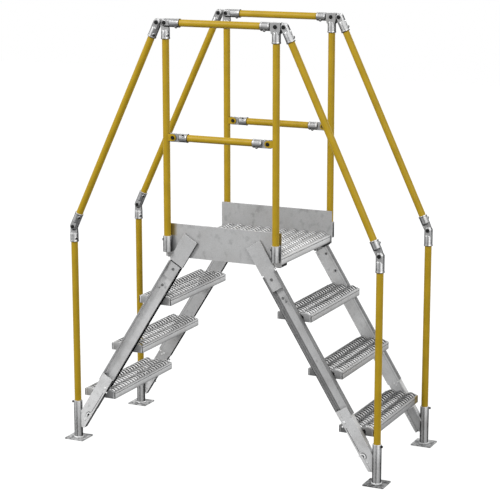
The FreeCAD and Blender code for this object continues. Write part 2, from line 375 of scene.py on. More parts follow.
def noise(tree, scale, detail=4.0, rough=0.55, stretch=None):
    place = new_node(tree, "TexCoord").outputs["Object"]
    if stretch:
        place = new_node(tree, "Mapping", {"Scale": stretch, "Vector": place}).outputs["Vector"]
    return new_node(tree, "TexNoise", {
        "Scale": scale, "Detail": detail, "Roughness": rough, "Vector": place}).outputs["Fac"]


def grey(level, warm=0.0):
    return (level * (1 + warm), level, level * (1 - warm))


def ramp(tree, value, stops):
    """A colour for each value, from stops as (place, colour)."""
    made = new_node(tree, "ValToRGB", {"Fac": value})
    band = made.color_ramp
    while len(band.elements) < len(stops):
        band.elements.new(0.5)
    for element, (at, colour) in zip(band.elements, stops):
        element.position = at
        element.color = (*colour, 1)
    return made.outputs["Color"]


def greys(tree, value, stops):
    """A ramp of plain greys, from stops as (place, level)."""
    return ramp(tree, value, [(at, grey(level)) for at, level in stops])


def multiply(tree, a, b):
    """Product of two colours."""
    return new_node(
        tree, "Mix", {"Factor": 1.0, "A": a, "B": b}, data_type="RGBA",
        blend_type="MULTIPLY").outputs["Result"]


def crevice_shade(tree, colour, distance, dark):
    """Painted shade: darken a colour where other surfaces are near."""
    near = new_node(tree, "AmbientOcclusion", {"Distance": distance}, samples=8)
    return multiply(tree, colour, greys(tree, near.outputs["AO"], [(0.25, dark), (0.85, 1.0)]))


def soft_edge_normal(tree, radius):
    return new_node(tree, "Bevel", {"Radius": radius}, samples=6).outputs["Normal"]


def edge_mask(tree, normal):
    """Zero on flat faces, rising on the rounded edges."""
    face = new_node(tree, "NewGeometry").outputs["True Normal"]
    dot = new_node(tree, "VectorMath", {0: normal, 1: face}, operation="DOT_PRODUCT")
    return greys(tree, dot.outputs["Value"], [(0.80, 1.0), (0.985, 0.0)])


def mix_colours(tree, factor, a, b):
    """From one colour to another; each is a socket or a plain colour."""
    a, b = ((*colour, 1) if isinstance(colour, tuple) else colour for colour in (a, b))
    return new_node(
        tree, "Mix", {"Factor": factor, "A": a, "B": b}, data_type="RGBA").outputs["Result"]


def maths(tree, operation, a, b):
    """A math node; each input is a socket or a number."""
    return new_node(tree, "Math", {0: a, 1: b}, operation=operation).outputs["Value"]


def times(tree, a, b):
    return maths(tree, "MULTIPLY", a, b)


def minus(tree, a, b):
    return maths(tree, "SUBTRACT", a, b)


def size_of(tree, a):
    """A number without its sign."""
    return maths(tree, "ABSOLUTE", a, 0)


def step(tree, value, start, stop, low, high):
    """Low up to the start, high past the stop, and a straight rise between."""
    return new_node(tree, "MapRange", {
        "From Min": start, "From Max": stop, "To Min": low, "To Max": high,
        "Value": value}).outputs["Result"]


def by_side(tree, place, below, above):
    """One number below zero and another above it, with a short blend between."""
    return step(tree, place, -0.1, 0.1, below, above)


def parts_of(tree, vector):
    made = new_node(tree, "SeparateXYZ", {"Vector": vector})
    return made.outputs["X"], made.outputs["Y"], made.outputs["Z"]


def place_parts(tree):
    return parts_of(tree, new_node(tree, "TexCoord").outputs["Object"])


def normal_parts(tree):
    return parts_of(tree, new_node(tree, "NewGeometry").outputs["True Normal"])


def across_slope(x, z):
    """Distance out from the line of the noses, for a point of either flight."""
    return (abs(x) - NOSE_X) * SLOPE_SIN + (z - NOSE_Z) * SLOPE_COS


stringer_across = [
    across_slope(point.co.x, point.co.z)
    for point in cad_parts["stringer_near_right"].data.vertices]
STRINGER_LOW, STRINGER_HIGH = min(stringer_across), max(stringer_across)


def stringer_painted_shade(tree, stops, top_flange_shade, under_flange_shade, inside, lift):
    """Painted shade in bands across a stringer: lower flange, outer face, upper flange and back,
    with painted light near the upper edge of the outer face.
    """
    x, y, z = place_parts(tree)
    out = minus(tree, size_of(tree, x), NOSE_X)
    up = minus(tree, z, NOSE_Z)
    across = maths(tree, "ADD", times(tree, out, SLOPE_SIN), times(tree, up, SLOPE_COS))
    depth = minus(tree, across, STRINGER_LOW)
    share = step(tree, depth, 0.0, BAND_DEPTH, 0.0, 1.0)
    band = greys(tree, share, stops)
    below_top = minus(tree, STRINGER_HIGH, across)
    back = greys(
        tree, step(tree, below_top, 0.0, BAND_DEPTH, 0.0, 1.0),
        [(at, inside * level) for at, level in BACK_BANDS])
    side = size_of(tree, y)
    outside = step(tree, side, WEB_BACK + 0.001, WEB_BACK + 0.002, 0.0, 1.0)
    # Painted light near the upper edge of the outer face, as strong as lift
    face = multiply(tree, band, step(tree, below_top, 0.004, 0.032, lift, 1.0))
    lower = mix_colours(tree, outside, back, face)
    # Painted shade on the top of the upper flange, along the lower edge and on the flange tips
    rim = step(tree, side, WEB_BACK + 0.003, WEB_BACK + 0.006, top_flange_shade * 0.5, top_flange_shade)
    on_top = step(tree, below_top, 0.0003, 0.0006, 1.0, 0.0)
    lower = mix_colours(tree, on_top, lower, rim)
    under = step(tree, depth, 0.0002, 0.0005, under_flange_shade, 1)
    lip = step(tree, side, LIP_FACE - 0.0006, LIP_FACE - 0.0003, 1.0, LIP_SHADE)
    return multiply(tree, lower, times(tree, under, lip))


def base_plate_patches_and_light(tree):
    """Dark patches on the flat of the base plates, close to the floor, darker on the near right
    plate, and painted light on the left feet.
    """
    x, y, z = place_parts(tree)
    patches = greys(tree, noise(tree, 48.0, 3.0), [(0.40, 0.30), (0.60, 0.95)])
    near_right = step(tree, minus(tree, x, y), 0.7, 1.0, 0.85, 0.45)
    flat = step(tree, z, BASE_PLATE, BASE_PLATE + 0.0004, 1.0, 0.0)
    dirt = multiply(tree, patches, near_right)
    plate = mix_colours(tree, flat, WHITE, dirt)
    return multiply(tree, plate, by_side(tree, x, LEFT_FEET_PAINTED_LIGHT, 1.0))


def post_reflection(tree):
    """Painted reflection of the near posts: their yellow in the zinc of the side plate, to the
    right of each.
    """
    x, y, z = place_parts(tree)
    total = None
    for post in (-DECK_POST_X, DECK_POST_X):
        right = minus(tree, x, post)
        start = step(tree, right, 0.006, 0.010, 0.0, 1.0)
        stop = step(tree, right, 0.022, 0.044, 1.0, 0.0)
        reflection_share = times(tree, start, stop)
        total = reflection_share if total is None else maths(tree, "MAXIMUM", total, reflection_share)
    above = step(tree, z, DECK_SOCKET_HIGH - 0.004, DECK_SOCKET_HIGH + 0.004, 0.0, 1.0)
    above = times(tree, above, by_side(tree, y, 1.0, 0.0))
    return mix_colours(tree, times(tree, total, above), WHITE, POST_REFLECTION)


def tread_light_and_shade(tree):
    """Upright faces of the treads: painted light on the left ones, darker towards the bottom on
    the right ones, and a painted reflection of the far post on the low right nose.
    """
    x, y, z = place_parts(tree)
    far = step(tree, y, 0.245, 0.262, 0.0, 1.0)
    nose = step(tree, x, NOSE_X - 0.004, NOSE_X - 0.002, 0.0, 1.0)
    low = step(tree, z, NOSE_Z, NOSE_Z + 0.002, 1.0, 0.0)
    factor = times(tree, times(tree, far, nose), low)
    _, _, facing_up = normal_parts(tree)
    upright = step(tree, size_of(tree, facing_up), 0.4, 0.6, 1.0, 0.0)
    painted_light_and_low_dark = mix_colours(
        tree, by_side(tree, x, 0.0, 1.0), grey(LEFT_TREADS_PAINTED_LIGHT),
        step(tree, z, 0.25, 0.80, 0.68, 1.0))
    faces = mix_colours(tree, upright, WHITE, painted_light_and_low_dark)
    return multiply(tree, faces, mix_colours(tree, factor, WHITE, POST_REFLECTION))


def tube_reflections(tree, strength):
    """Painted reflections: light and dark lines along a round tube, set by the way its surface
    faces, with a ragged edge.
    """
    x, y, z = normal_parts(tree)
    turn = maths(tree, "ADD", times(tree, x, REFLECTION_TURN[0]), times(tree, y, REFLECTION_TURN[1]))
    ragged = times(tree, minus(tree, noise(tree, 110.0, 2.0), 0.5), 0.30)
    share = step(tree, maths(tree, "ADD", turn, ragged), -1.0, 1.0, 0.0, 1.0)
    dark = 1 - strength
    round_way = greys(tree, share, [
        (0.07, dark * 0.5), (0.14, 0.72), (0.31, 0.62), (0.35, dark),
        (0.40, dark), (0.46, 0.78), (0.54, 0.92), (0.66, 0.85),
        (0.80, 0.62), (0.87, dark * 0.3)])
    height = step(tree, z, -1.0, 1.0, 0.0, 1.0)
    up_way = greys(tree, height, [
        (0.12, dark * 0.3), (0.19, 0.85), (0.30, 1.2), (0.34, dark),
        (0.41, dark), (0.46, 1.0), (0.54, 1.0), (0.70, 1.6)])
    return multiply(tree, round_way, up_way)


def galvanised(name, level, roughness=0.45, metallic=0.22, smudge=0.45, cloud=0.16,
               edge=0.0012, crevice_reach=0.008, dark=0.35, under=0.05, spots_from=0.63,
               edge_highlight=1.45, tube=0.0, extra=None, painted_light=None):
    """Zinc coat: soft crystals, cloudy grey and darker smudges, with painted shade in crevices
    and on faces turned down, and painted highlights on the rounded edges.
    """
    material, tree, shader = new_material(name)
    clouds = ramp(tree, noise(tree, CLOUD_SCALE, 3.0), [
        (0.32, grey(level * (1 - cloud), 0.012)), (0.50, grey(level, 0.006)),
        (0.70, grey(level * (1 + cloud * 0.6), 0.004))])
    grain = greys(tree, noise(tree, GRAIN_SCALE, 2.0), [(0.30, 0.80), (0.70, 1.08)])
    spots = greys(tree, noise(tree, SPOT_SCALE, 2.5, 0.5, (1.0, 1.0, 0.75)), [
        (spots_from, 1.0), (spots_from + 0.09, smudge), (spots_from + 0.18, smudge * 0.85)])
    colour = multiply(tree, clouds, grain)
    colour = multiply(tree, colour, spots)
    # Painted shade in crevices
    colour = crevice_shade(tree, colour, crevice_reach, dark)
    rounded = soft_edge_normal(tree, edge)
    _, _, facing_up = normal_parts(tree)
    # Painted shade on faces turned down, which also dulls their shine
    painted_light_and_patches = step(tree, facing_up, -0.45, -0.30, under, 1)
    if extra:
        painted_light_and_patches = times(tree, painted_light_and_patches, extra(tree))
    # Painted reflections in lines along round tubes
    if tube:
        painted_light_and_patches = times(tree, painted_light_and_patches, tube_reflections(tree, tube))
    colour = multiply(tree, colour, painted_light_and_patches)
    # Painted light over the colour, such as the reflections of the posts
    if painted_light:
        colour = multiply(tree, colour, painted_light(tree))
    # Painted highlight on the rounded edges
    colour = mix_colours(tree, edge_mask(tree, rounded), colour, grey(min(0.9, level * edge_highlight)))
    rough = greys(
        tree, noise(tree, ROUGH_SCALE), [(0.3, roughness * 0.85), (0.7, roughness * 1.2)])
    bump = new_node(tree, "Bump", {
        "Strength": 0.15, "Distance": 0.001, "Height": noise(tree, BUMP_SCALE),
        "Normal": rounded})
    feed(tree, shader, {
        "Base Color": colour, "Metallic": times(tree, painted_light_and_patches, metallic),
        "Specular IOR Level": times(tree, painted_light_and_patches, 0.5), "Roughness": rough,
        "Normal": bump.outputs["Normal"]})
    return material


def point_shade(tree):
    """The shade stored on the points of a piece, as a factor for its colour."""
    stored = new_node(tree, "Attribute", attribute_name="shade").outputs["Fac"]
    return step(tree, stored, 0.1, 1.0, 0.03, 1.0)


def yellow_paint(name):
    material, tree, shader = new_material(name)
    colour = ramp(tree, noise(tree, 14.0), [(0.35, YELLOW_DARK), (0.65, YELLOW_LIGHT)])
    # Painted shade where other surfaces are near
    feed(tree, shader, {
        "Base Color": crevice_shade(tree, colour, 0.012, 0.45), "Specular IOR Level": 0.25,
        "Roughness": greys(tree, noise(tree, 80.0), [(0.3, 0.42), (0.7, 0.52)])})
    return material


def dark_steel(name, level=0.012):
    material, tree, shader = new_material(name)
    colour = greys(tree, noise(tree, 120.0), [(0.3, level), (0.7, level * 2)])
    feed(tree, shader, {"Base Color": colour, "Specular IOR Level": 0.06, "Roughness": 0.6})
    return material


# Gratings
def channel_edge(shape, x_edge, x_inner, y0, y1, top, bottom):
    """One long side of a plank: top strip, rounded edge, grooved face and return lip."""
    way = 1 if x_inner > x_edge else -1
    foot_line = x_inner - way * 0.002
    # Each outer point carries a painted shade: dark at the foot of the top strip and in the
    # groove, a highlight on the rounded edge, and darker towards the bottom
    outer = [
        (x_inner, top - 0.0008, 0.15), (foot_line, top, 0.35),
        (foot_line - way * 0.002, top, 0.55)]
    outer += [
        (x_edge + way * EDGE_ROUND * (1 - math.sin(math.pi / 2 * k / 4)),
         top - EDGE_ROUND * (1 - math.cos(math.pi / 2 * k / 4)),
         (0.55, 0.5, 0.75, 0.95, 0.85)[k]) for k in range(5)]
    groove = top - GROOVE_Z
    sunk = x_edge + way * GROOVE_DEPTH
    outer += [
        (x_edge, groove, 0.8), (sunk, groove - 0.0003, 0.1),
        (sunk, groove - GROOVE_WIDTH + 0.0003, 0.1), (x_edge, groove - GROOVE_WIDTH, 0.8),
        (x_edge, groove - GROOVE_WIDTH - 0.002, 0.9), (x_edge, bottom + 0.010, 0.78),
        (x_edge, bottom + 0.003, 0.55), (x_edge, bottom, 0.35), (x_edge + way * LIP, bottom, 0.2)]
    inner = [
        (x_edge + way * LIP, bottom + SHEET), (x_edge + way * SHEET, bottom + SHEET),
        (x_edge + way * SHEET, top - EDGE_ROUND), (x_edge + way * EDGE_ROUND, top - SHEET),
        (x_inner, top - SHEET)]
    outline = [(x, z) for x, z, _ in outer] + inner
    shades = [shade for _, _, shade in outer] + [INSIDE_SHADE] * len(inner)
    shape.prism(outline, y0, y1, shades=shades)


def hump(share):
    """Height of a ridge over the flat strips, at a share of its width from 0 to 1."""
    return HUMP * math.sin(math.pi * share) ** HUMP_FULLNESS


def slat(shape, x, y, top, gap_shade):
    """Arched strut across a row, its two long edges raised into teeth."""
    stations = 2 * TEETH + 1
    section = 10
    points = []
    shades = []
    for j in range(stations):
        share = (1 - math.cos(math.pi * j / (stations - 1))) / 2
        arch = top + hump(share) - TOOTH
        tooth = TOOTH if j % 2 else 0.0
        spread = abs(2 * share - 1) ** 2
        half = (SLAT_CREST + (SLAT_FOOT - SLAT_CREST) * spread) / 2
        points += [
            (x + (share - 0.5) * ROW_WIDTH, y + dy, arch + dz) for dy, dz in (
                (-half, tooth), (-half + TOOTH_CREST, tooth), (-half * 0.45, -SLAT_DIP),
                (half * 0.45, -SLAT_DIP), (half - TOOTH_CREST, tooth), (half, tooth),
                (half, tooth - TOOTH_EDGE), (half, -SLAT_DEPTH), (-half, -SLAT_DEPTH),
                (-half, tooth - TOOTH_EDGE))]
        # Painted light: each slat's top lightens toward its +x end; its sides and underside take
        # the painted shade of the gaps
        light = 0.55 + 0.45 * min(1.0, max(0.0, (share - 0.40) / 0.30))
        shades += [light] * 6 + [gap_shade] * 4
    faces = [tuple(range(section))]
    last = section * (stations - 1)
    faces.append(tuple(range(last + section - 1, last - 1, -1)))
    for j in range(stations - 1):
        for k in range(section):
            n = (k + 1) % section
            faces.append((
                j * section + k, (j + 1) * section + k,
                (j + 1) * section + n, j * section + n))
    shape.add(points, faces, shades=shades)


def end_hood(shape, x, y0, y1, top):
    """Arched strip that closes a ridge at the end of the plank."""
    steps = 10
    outer = []
    inner = []
    for j in range(steps + 1):
        share = j / steps
        at = x + (share - 0.5) * ROW_WIDTH
        outer.append((at, top + hump(share)))
        inner.append((at, top + hump(share) - SHEET))
    shades = [1.0] * len(outer) + [INSIDE_SHADE] * len(inner)
    shape.prism(outer + inner[::-1], y0, y1, shades=shades)


def end_wall(shape, low, high, y0, y1, row_places, top):
    """Plate across the end of a plank, with a rise under each ridge."""
    outline = [
        (low.x, low.z), (high.x, low.z), (high.x, top - EDGE_ROUND / 2),
        (high.x - EDGE_ROUND / 2, top)]
    shades = [WALL_FOOT_SHADE, WALL_FOOT_SHADE, WALL_EDGE_SHADE, WALL_SHADE]
    for x in reversed(row_places):
        for j in range(END_STEPS + 1):
            share = 1 - j / END_STEPS
            outline.append((x + (share - 0.5) * ROW_WIDTH, top + hump(share) * END_RISE))
            shades.append(WALL_SHADE)
    outline += [(low.x + EDGE_ROUND / 2, top), (low.x, top - EDGE_ROUND / 2)]
    shades += [WALL_SHADE, WALL_EDGE_SHADE]
    shape.prism(outline, y0, y1, shades=shades)


def end_highlights_and_shade(shape, low, high, row_places, face, way, top):
    """Painted highlight on the rims and painted shade in the bolt slot of an end plate, and lines
    of painted shade and highlight at its corners.
    """
    skin = sorted((face, face - way * MARK_DEPTH))
    for x in row_places:
        upper = []
        lower = []
        for j in range(END_STEPS + 1):
            share = j / END_STEPS
            at = x + (share - 0.5) * (ROW_WIDTH + RIM_WIDER)
            rise = top + hump(share) * END_RISE
            upper.append((at, rise))
            lower.append((at, rise - RIM_HEIGHT))
        outline = upper + lower[::-1]
        shape.prism(outline, *skin, shades=[1.0] * len(outline))
    x = high.x - END_SLOT_IN if high.x > 0 else low.x + END_SLOT_IN
    outline = arc(x, top - END_SLOT_MIDDLE, END_SLOT_R, 0, 180, 8)
    outline += [(x - END_SLOT_R, top - END_SLOT_FOOT), (x + END_SLOT_R, top - END_SLOT_FOOT)]
    shape.prism(outline, *skin, shades=[END_SLOT_SHADE] * len(outline))
    for x, inward in ((low.x, 1), (high.x, -1)):
        for start, width, shade in CORNER_LINES:
            x0, x1 = sorted((x + inward * start, x + inward * (start + width)))
            shape.box(
                (x0, skin[0], low.z + LINE_FOOT), (x1, skin[1], top - LINE_TOP),
                shades=[shade] * 8)


def grating(name, material, gap_shade):
    """A plank in place of its plain one: channel, flat strips and toothed slats."""
    low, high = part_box(name)
    width = high.x - low.x
    length = high.y - low.y
    top = high.z - HUMP
    rows = int((width - 2 * ROW_MARGIN) // ROW_PITCH)
    middle = (low + high) / 2
    shape = Shape("grating_" + name)
    y0, y1 = low.y + END_PLATE, high.y - END_PLATE
    row_places = [middle.x + (row - (rows - 1) / 2) * ROW_PITCH for row in range(rows)]
    row_half = ROW_WIDTH / 2
    channel_edge(shape, low.x, row_places[0] - row_half, y0, y1, top, low.z)
    channel_edge(shape, high.x, row_places[-1] + row_half, y0, y1, top, low.z)
    for first, second in zip(row_places, row_places[1:]):
        shape.box(
            (first + row_half, y0, top - SHEET), (second - row_half, y1, top - 0.0004),
            shades=[INSIDE_SHADE] * 4 + [STRIP_SHADE] * 4)
    for start, stop, wall0, wall1, face, way in (
            (y0, y0 + END_STRIP, low.y, y0, low.y, 1),
            (y1 - END_STRIP, y1, y1, high.y, high.y, -1)):
        for x in row_places:
            end_hood(shape, x, start, stop, top)
        end_wall(shape, low, high, wall0, wall1, row_places, top)
        if name.startswith("tread"):
            end_highlights_and_shade(shape, low, high, row_places, face, way, top)
    count = int((length - 2 * (END_PLATE + END_STRIP)) // SLAT_PITCH)
    for x in row_places:
        for index in range(count):
            y = middle.y + (index - (count - 1) / 2) * SLAT_PITCH
            slat(shape, x, y, top, gap_shade)
    made = shape.finish(material)
    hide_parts(name)


# Swivel fittings
def sleeve(shape, place, start):
    """Round sleeve from its start to the pipe, with a rim at the pipe's end."""
    shape.turned([
        (start - 0.003, 0), (start - 0.003, NECK_R * 0.8),
        (start - 0.001, NECK_R), (start + 0.002, SLEEVE_R - END_ROUND),
        (start + 0.004, SLEEVE_R), (SLEEVE_END - RIM_LENGTH - 0.003, SLEEVE_R),
        (SLEEVE_END - RIM_LENGTH, RIM_R), (SLEEVE_END - END_ROUND, RIM_R),
        (SLEEVE_END, RIM_R - END_ROUND), (SLEEVE_END, PIPE_R)], place)


def about(at, way, outline):
    """An outline drawn about a pivot, moved to it and turned left or right."""
    return [(at.x + way * x, at.z + z) for x, z in outline]


def tongue_fitting(shape, place):
    """Sleeve with a lug in the middle that widens toward the sleeve."""
    sleeve(shape, place, TONGUE_START)
    outline = arc(0, 0, TONGUE_R, 100, 260)
    root = TONGUE_START + SLEEVE_OVERLAP
    outline += [(root, -SLEEVE_R), (root, SLEEVE_R)]
    shape.prism(outline, -TONGUE_HALF, TONGUE_HALF, place)


def square_tongue_fitting(shape, place):
    """Sleeve with a square lug as high as itself."""
    sleeve(shape, place, TONGUE_START)
    corner = 0.003
    outline = arc(-TAB_R + corner, SLEEVE_R - corner, corner, 90, 180, 4)
    outline += arc(-TAB_R + corner, -SLEEVE_R + corner, corner, 180, 270, 4)
    root = TONGUE_START + SLEEVE_OVERLAP
    outline += [(root, -SLEEVE_R), (root, SLEEVE_R)]
    shape.prism(outline, -TONGUE_HALF, TONGUE_HALF, place)


def round_lug(shape, place, way):
    """A lug cut from the round of the sleeve, flat inside and outside."""
    rings = []
    levels = 5
    for k in range(levels):
        y = FORK_IN + (FORK_OUT - FORK_IN) * k / (levels - 1)
        half = math.sqrt(SLEEVE_R ** 2 - y ** 2)
        outline = arc(0, 0, half, 90, 270)
        outline += [(FORK_START + LUG_ROOT, -half), (FORK_START + LUG_ROOT, half)]
        rings.append([(x, way * y, z) for x, z in outline])
    count = len(rings[0])
    points = [point for ring in rings for point in ring]
    sides = []
    for k in range(levels - 1):
        for i in range(count):
            j = (i + 1) % count
            sides.append((k * count + i, k * count + j, (k + 1) * count + j, (k + 1) * count + i))
    last = (levels - 1) * count
    caps = [tuple(range(count)), tuple(range(last + count - 1, last - 1, -1))]
    shape.add(points, sides + caps, place)


def fork_fitting(shape, place):
    """Sleeve that runs on as two round-ended lugs of its own width."""
    sleeve(shape, place, FORK_START)
    round_lug(shape, place, 1)
    round_lug(shape, place, -1)


def flared_fork_fitting(shape, place):
    """Post fitting whose lugs are wider than its sleeve and square at the top."""
    sleeve(shape, place, FORK_START)
    corner = 0.004
    top = -SLEEVE_R
    outline = arc(top + corner, FLARE_HALF - corner, corner, 90, 180, 4)
    outline += arc(top + corner, -FLARE_HALF + corner, corner, 180, 270, 4)
    outline += [
        (SLEEVE_R * 0.5, -FLARE_HALF), (FORK_START + LUG_ROOT, -SLEEVE_R),
        (FORK_START + LUG_ROOT, SLEEVE_R), (SLEEVE_R * 0.5, FLARE_HALF)]
    shape.prism(outline, FORK_IN, FORK_OUT, place)
    shape.prism(outline, -FORK_OUT, -FORK_IN, place)


def two_eye_post_fitting(shape, top, way):
    """Post fitting with one plate that holds the level and the sloped fitting."""
    sleeve(shape, in_plane((0, 0, -1), top), TONGUE_START)
    leg = TONGUE_START + SLEEVE_OVERLAP
    outline = arc(SLOPED_EYE_OUT, 0, TONGUE_R, -90, 90)
    outline += arc(0, 0, TONGUE_R, 90, 180, 6)
    outline += [(-SLEEVE_R, -leg), (SLEEVE_R, -leg), (SLEEVE_R, -TONGUE_R)]
    shape.prism(about(top, way, outline), top.y - TONGUE_HALF, top.y + TONGUE_HALF)


def side_arm(shape, top, way):
    """Plate from a flared fork out to the pivot of the sloped fitting."""
    outline = arc(SLOPED_EYE_OUT, 0, TONGUE_R, -90, 90)
    outline += [(TONGUE_R + ARM_GAP, TONGUE_R), (TONGUE_R + ARM_GAP, -TONGUE_R)]
    shape.prism(about(top, way, outline), top.y - TONGUE_HALF, top.y + TONGUE_HALF)


def fork_tabs(shape, mid, way):
    """Two round-ended tabs on the side of a deck post."""
    outline = arc(0, 0, TAB_R, 90, 270) + [(MID_EYE_IN, -TAB_R), (MID_EYE_IN, TAB_R)]
    placed = about(mid, way, outline)
    shape.prism(placed, mid.y + FORK_IN, mid.y + FORK_IN + TAB_WALL)
    shape.prism(placed, mid.y - FORK_IN - TAB_WALL, mid.y - FORK_IN)


def set_screw(bosses, screws, pivot, along, way):
    """A screw in a low boss on a sleeve, on the side that faces a direction."""
    along = Vector(along).normalized()
    way = Vector(way) - along * along.dot(Vector(way))
    out = facing(way, pivot + along * SCREW_PLACE)
    top = SLEEVE_R + BOSS_RISE
    bosses.turned([
        (SLEEVE_R - 0.002, BOSS_R), (top - 0.0008, BOSS_R - 0.0006),
        (top, BOSS_R - 0.0018), (top, 0)], out, SMALL_ROUND)
    screws.turned([
        (top - 0.001, SCREW_R), (top + SCREW_RISE - 0.0006, SCREW_R),
        (top + SCREW_RISE, SCREW_R - 0.0008), (top + SCREW_RISE, 0)], out, SMALL_ROUND)


def pivot_bolt(shape, at, outer=FORK_OUT):
    """Round head on the outside of a fork and nut on the inside."""
    head = (-1, BOLT_R, BOLT_RISE, SMALL_ROUND)
    nut = (1, NUT_R, NUT_RISE, 6)
    for way, radius, rise, sides in (head, nut):
        place = facing((0, way, 0), at)
        shape.turned([
            (outer - 0.001, radius), (outer + rise - 0.002, radius),
            (outer + rise, radius - 0.0025), (outer + rise, 0)], place, sides, smooth=False)


def pivots(end, side):
    """The four pivot points of one corner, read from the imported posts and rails."""
    x = ENDS[end]
    post_low, post_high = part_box("base_posts_" + side)
    deck_post_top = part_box("deck_posts_" + side)[1].z
    mid_low, mid_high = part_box("mid_rail_" + side)
    line = (post_low.y + post_high.y) / 2
    knee = Vector((x * FOOT_X, line, post_high.z + SLEEVE_END))
    top = Vector((x * DECK_POST_X, line, deck_post_top + SLEEVE_END))
    sloped = top + Vector((x * SLOPED_EYE_OUT, 0, 0))
    mid = Vector((top.x - x * MID_EYE_IN, line, (mid_low.z + mid_high.z) / 2))
    return knee, top, sloped, mid


# Ways that the set screws face, read from the photo for the near side
SCREW_WAYS = {
    ("post", "left"): (0.85, -0.5, 0),
    ("post", "right"): (-0.6, 0.8, 0),
    ("rail", "left"): (0, -0.3, -1),
    ("rail", "right"): (0, -0.4, -1),
    ("sloped", "left"): (0.7, -0.7, 0),
    ("sloped", "right"): (1, 0.2, 0.3),
    ("mid", "left"): (0, -0.75, 0.65),
    ("mid", "right"): (0, -0.3, -1),
}


def build_swivels(metal, dark, paint):
    """Fittings of all corners; near and far ones are alike, right and left ones differ."""
    down = Vector((0, 0, -1))
    for side in SIDES:
        knees = Shape("knee_fittings_" + side)
        tops = Shape("top_fittings_" + side)
        mids = Shape("mid_fittings_" + side)
        tabs = Shape("mid_rail_tabs_" + side)
        screws = Shape("fitting_screws_" + side)
        for end, x in ENDS.items():
            knee, top, sloped, mid = pivots(end, side)
            along = (sloped - knee).normalized()
            inward = Vector((-x, 0, 0))
            if end == "right":
                fork_fitting(knees, in_plane(down, knee))
                tongue_fitting(knees, in_plane(along, knee))
                flared_fork_fitting(tops, in_plane(down, top))
                side_arm(tops, top, x)
                square_tongue_fitting(tops, in_plane(inward, top))
            else:
                tongue_fitting(knees, in_plane(down, knee))
                fork_fitting(knees, in_plane(along, knee))
                two_eye_post_fitting(tops, top, x)
                fork_fitting(tops, in_plane(inward, top))
            fork_fitting(tops, in_plane(-along, sloped))
            square_tongue_fitting(mids, in_plane(inward, mid))
            fork_tabs(tabs, mid, x)
            for fittings, pivot, way, kind in (
                    (knees, knee, down, "post"), (knees, knee, along, "sloped"),
                    (tops, top, down, "post"), (tops, top, inward, "rail"),
                    (tops, sloped, -along, "sloped"), (mids, mid, inward, "mid")):
                set_screw(fittings, screws, pivot, way, SCREW_WAYS[kind, end])
            for at in (knee, top, sloped):
                pivot_bolt(screws, at)
            pivot_bolt(screws, mid, FORK_IN + TAB_WALL)
        kinds = {"knee_swivels_": knees, "top_swivels_": tops, "mid_swivels_": mids}
        for node, shape in kinds.items():
            made = shape.finish(metal, FITTING_BEVEL)
            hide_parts(node + side)
        tabs.finish(paint, FITTING_BEVEL)
        screws.finish(dark, SCREW_BEVEL)


# Frame bolts, welds and feet
def round_bolt(shape, at, way, radius, rise):
    shape.turned([
        (-0.0005, radius), (rise * 0.5, radius), (rise, radius * 0.72), (rise, 0)],
        facing(way, at), SMALL_ROUND, smooth=False)


def mirrored(point, end, side):
    """A place noted for the near right corner, moved to another corner."""
    x, y, z = point
    return Vector((x * ENDS[end], -y * SIDES[side], z))


def on_hanger(out, below):
    """Place on a right hanger, in the XZ plane."""
    return DECK_END + out, DECK_UNDER - below


def on_foot(inward, height):
    """Place on the bracket of a right foot, in the XZ plane."""
    return FOOT_X - inward, height


def add_bolts(shape, marks, placed_on, face, rise, end, side, outward):
    """Bolts of one corner, on a face at a distance from the middle of the walkway.

    Outward is 1 where they face away from the walkway and -1 where they face it.
    """
    for first, second, radius in marks:
        x, z = placed_on(first, second)
        at = mirrored((x, -face, z), end, side)
        round_bolt(shape, at, (0, outward * SIDES[side], 0), radius, rise)


def add_outline(shape, outline, face, rise, side):
    """A flat mark on a face, as thick as its rise."""
    way = SIDES[side]
    shape.prism(outline, *sorted((way * face, way * (face + rise))))


def slope_strip(start, end, width):
    """Corners of a narrow strip from one place to another."""
    way = Vector((end[0] - start[0], end[1] - start[1])).normalized()
    side = Vector((-way.y, way.x)) * width / 2
    return [
        (start[0] + side.x, start[1] + side.y), (end[0] + side.x, end[1] + side.y),
        (end[0] - side.x, end[1] - side.y), (start[0] - side.x, start[1] - side.y)]


def hanger_shadow_line(name, x_way):
    """Dark strip of painted shadow across the tail of a hanger, where its wide part ends."""
    placed = []
    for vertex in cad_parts[name].data.vertices:
        x, z = abs(vertex.co.x), vertex.co.z
        along = (z - NOSE_Z) * SLOPE_SIN - (x - NOSE_X) * SLOPE_COS
        placed.append((along, across_slope(x, z)))
    tail_end = min(placed)[0]
    tail = [across for along, across in placed if along < tail_end + 0.001]
    wide_end = min(along for along, across in placed if across < min(tail) - 0.001)
    corners = [
        (min(tail), wide_end - HANGER_SHADOW_WIDTH), (max(tail), wide_end - HANGER_SHADOW_WIDTH),
        (max(tail), wide_end), (min(tail), wide_end)]
    return [
        (x_way * (NOSE_X + across * SLOPE_SIN - along * SLOPE_COS),
         NOSE_Z + across * SLOPE_COS + along * SLOPE_SIN) for across, along in corners]


